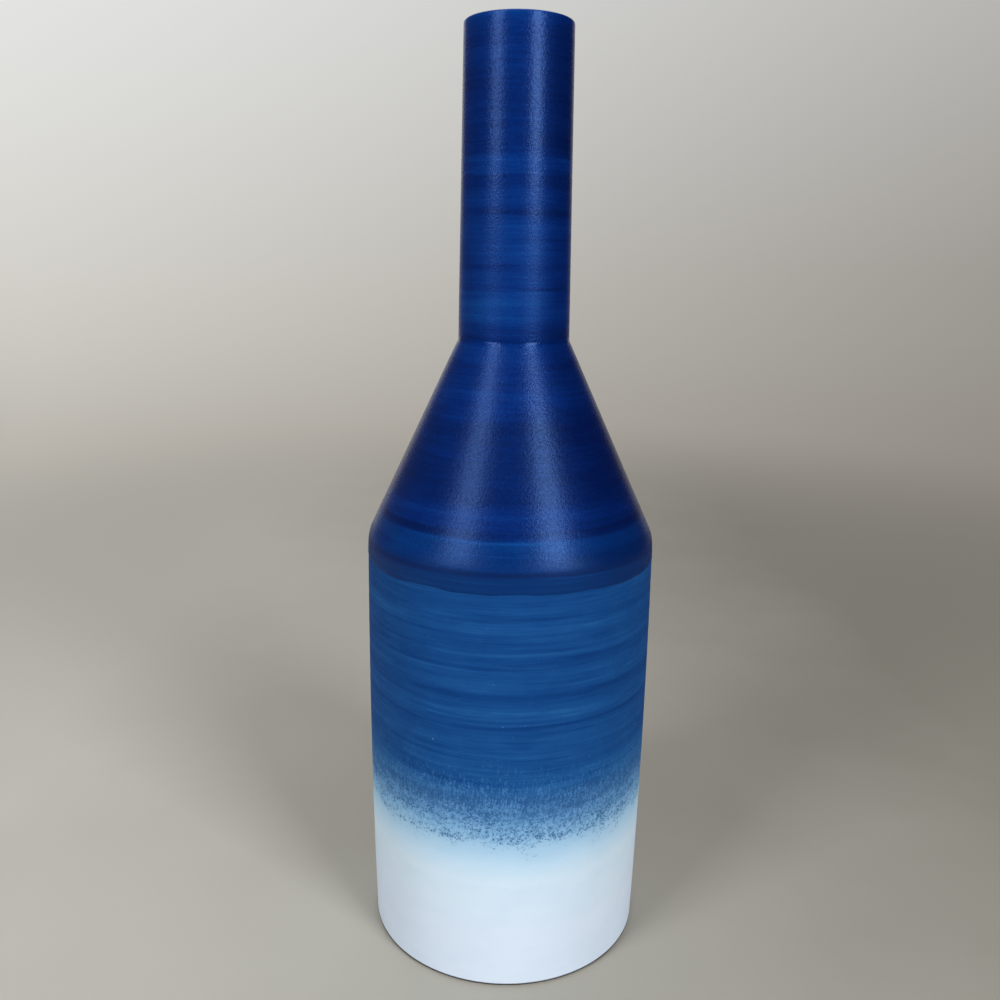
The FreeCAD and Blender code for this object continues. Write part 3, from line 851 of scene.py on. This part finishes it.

# Floor, pale, in metres, with painted shade: its colour darkens from the lit left to the right. Its
# far part glows like the surround over it, so no horizon shows. The glow is the surround's colour
# in the direction that a place has from a point over the middle of the floor, drawn in a little
# from side to side.
FLOOR_REACH = 4.0
FLOOR_LIT_LEFT, FLOOR_SHADED_RIGHT = (0.54, 0.51, 0.445), (0.26, 0.24, 0.20)
FLOOR_TURN, FLOOR_MOTTLE = (-0.24, 0.36), 0.12
GLOW_STARTS = (0.5, 1.5)
GLOW_NARROWS, GLOW_DROP = 0.36, -0.28
bpy.ops.object.select_all(action="DESELECT")
bpy.ops.mesh.primitive_circle_add(
    vertices=128, radius=FLOOR_REACH, fill_type="NGON", location=(0, 0, 0))
floor = bpy.context.object
floor.name = "floor"
floor_material, tree, shader, place = start_material(
    "pale_floor", Roughness=0.9, Specular_IOR_Level=0.1)
across = put(tree, "ShaderNodeSeparateXYZ", {0: place}).outputs["X"]
mottle = plus(tree, across, noise(tree, place, scale=9.0, detail=3.0), FLOOR_MOTTLE)
# Painted shade: the ground darkens from left to right, along a mottled edge
ground = blend(tree, span(tree, mottle, *FLOOR_TURN), opaque(FLOOR_LIT_LEFT), opaque(FLOOR_SHADED_RIGHT))
tree.links.new(ground, shader["Base Color"])
away = vectors(tree, "LENGTH", place)["Value"]
narrowed = maths(tree, "SUBTRACT", 1.0, maths(tree, "DIVIDE", GLOW_NARROWS, away))
widths = put(tree, "ShaderNodeCombineXYZ", {"X": narrowed, "Y": 1.0}).outputs[0]
drawn = vectors(tree, "MULTIPLY_ADD", widths, place, (0, 0, GLOW_DROP))[0]
outward = vectors(tree, "NORMALIZE", drawn)[0]
glow = put(tree, "ShaderNodeEmission",
           {"Color": use(tree, surround, {"Direction": outward}, "Color")})
mixed = put(tree, "ShaderNodeMixShader", {
    0: span(tree, away, *GLOW_STARTS, smooth=True),
    1: shader["Base Color"].node.outputs[0], 2: glow.outputs[0]})
output = next(node for node in tree.nodes if node.type == "OUTPUT_MATERIAL")
tree.links.new(mixed.outputs[0], output.inputs["Surface"])
floor.data.materials.append(floor_material)

world = bpy.data.worlds.new("studio")
bpy.context.scene.world = world
world.use_nodes = True
tree = world.node_tree
tree.nodes.clear()
direction = put(tree, "ShaderNodeTexCoord").outputs["Generated"]
background = put(tree, "ShaderNodeBackground",
                 {"Color": use(tree, surround, {"Direction": direction}, "Color")})
tree.links.new(background.outputs[0], put(tree, "ShaderNodeOutputWorld").inputs["Surface"])

# Lamps, with angles in degrees and sizes in metres. The tall ones aim at a share of the height.
LAMP_DISTANCE = 1.6
LAMP_AIM = 0.6
LAMP_COLOUR = (0.95, 1.0, 1.06)


def soft_lamp(name, azimuth, low, high, width, radiance):
    """A tall soft lamp that stands between two elevations and faces the vase."""
    lamp = bpy.data.lights.new(name, "AREA")
    lamp.shape = "RECTANGLE"
    bottom, top = (LAMP_DISTANCE * math.tan(math.radians(angle)) for angle in (low, high))
    lamp.size, lamp.size_y = width, top - bottom
    lamp.energy = radiance * math.pi * lamp.size * lamp.size_y
    lamp.color = LAMP_COLOUR
    stand = bpy.data.objects.new(name, lamp)
    way = math.radians(azimuth)
    stand.location = Vector((math.sin(way) * LAMP_DISTANCE, -math.cos(way) * LAMP_DISTANCE,
                             OVERALL * MM * LAMP_AIM + (bottom + top) / 2))
    outward = Vector((stand.location.x, stand.location.y, 0))
    stand.rotation_euler = outward.to_track_quat("Z", "Y").to_euler()
    stand.visible_camera = False
    bpy.context.scene.collection.objects.link(stand)


soft_lamp("left_lamp", azimuth=-44, low=8, high=57, width=0.60, radiance=7.2)
soft_lamp("right_lamp", azimuth=38.5, low=6, high=46, width=0.58, radiance=10.7)

# Wide and dim lamp overhead, which softens the shadows
OVERHEAD_SIZE, OVERHEAD_HEIGHT, OVERHEAD_RADIANCE = 1.8, 1.9, 1.1
overhead = bpy.data.lights.new("overhead_lamp", "AREA")
overhead.size = OVERHEAD_SIZE
overhead.energy = OVERHEAD_RADIANCE * math.pi * OVERHEAD_SIZE ** 2
overhead_stand = bpy.data.objects.new("overhead_lamp", overhead)
overhead_stand.location = (0, 0, OVERHEAD_HEIGHT)
overhead_stand.visible_camera = False
bpy.context.scene.collection.objects.link(overhead_stand)
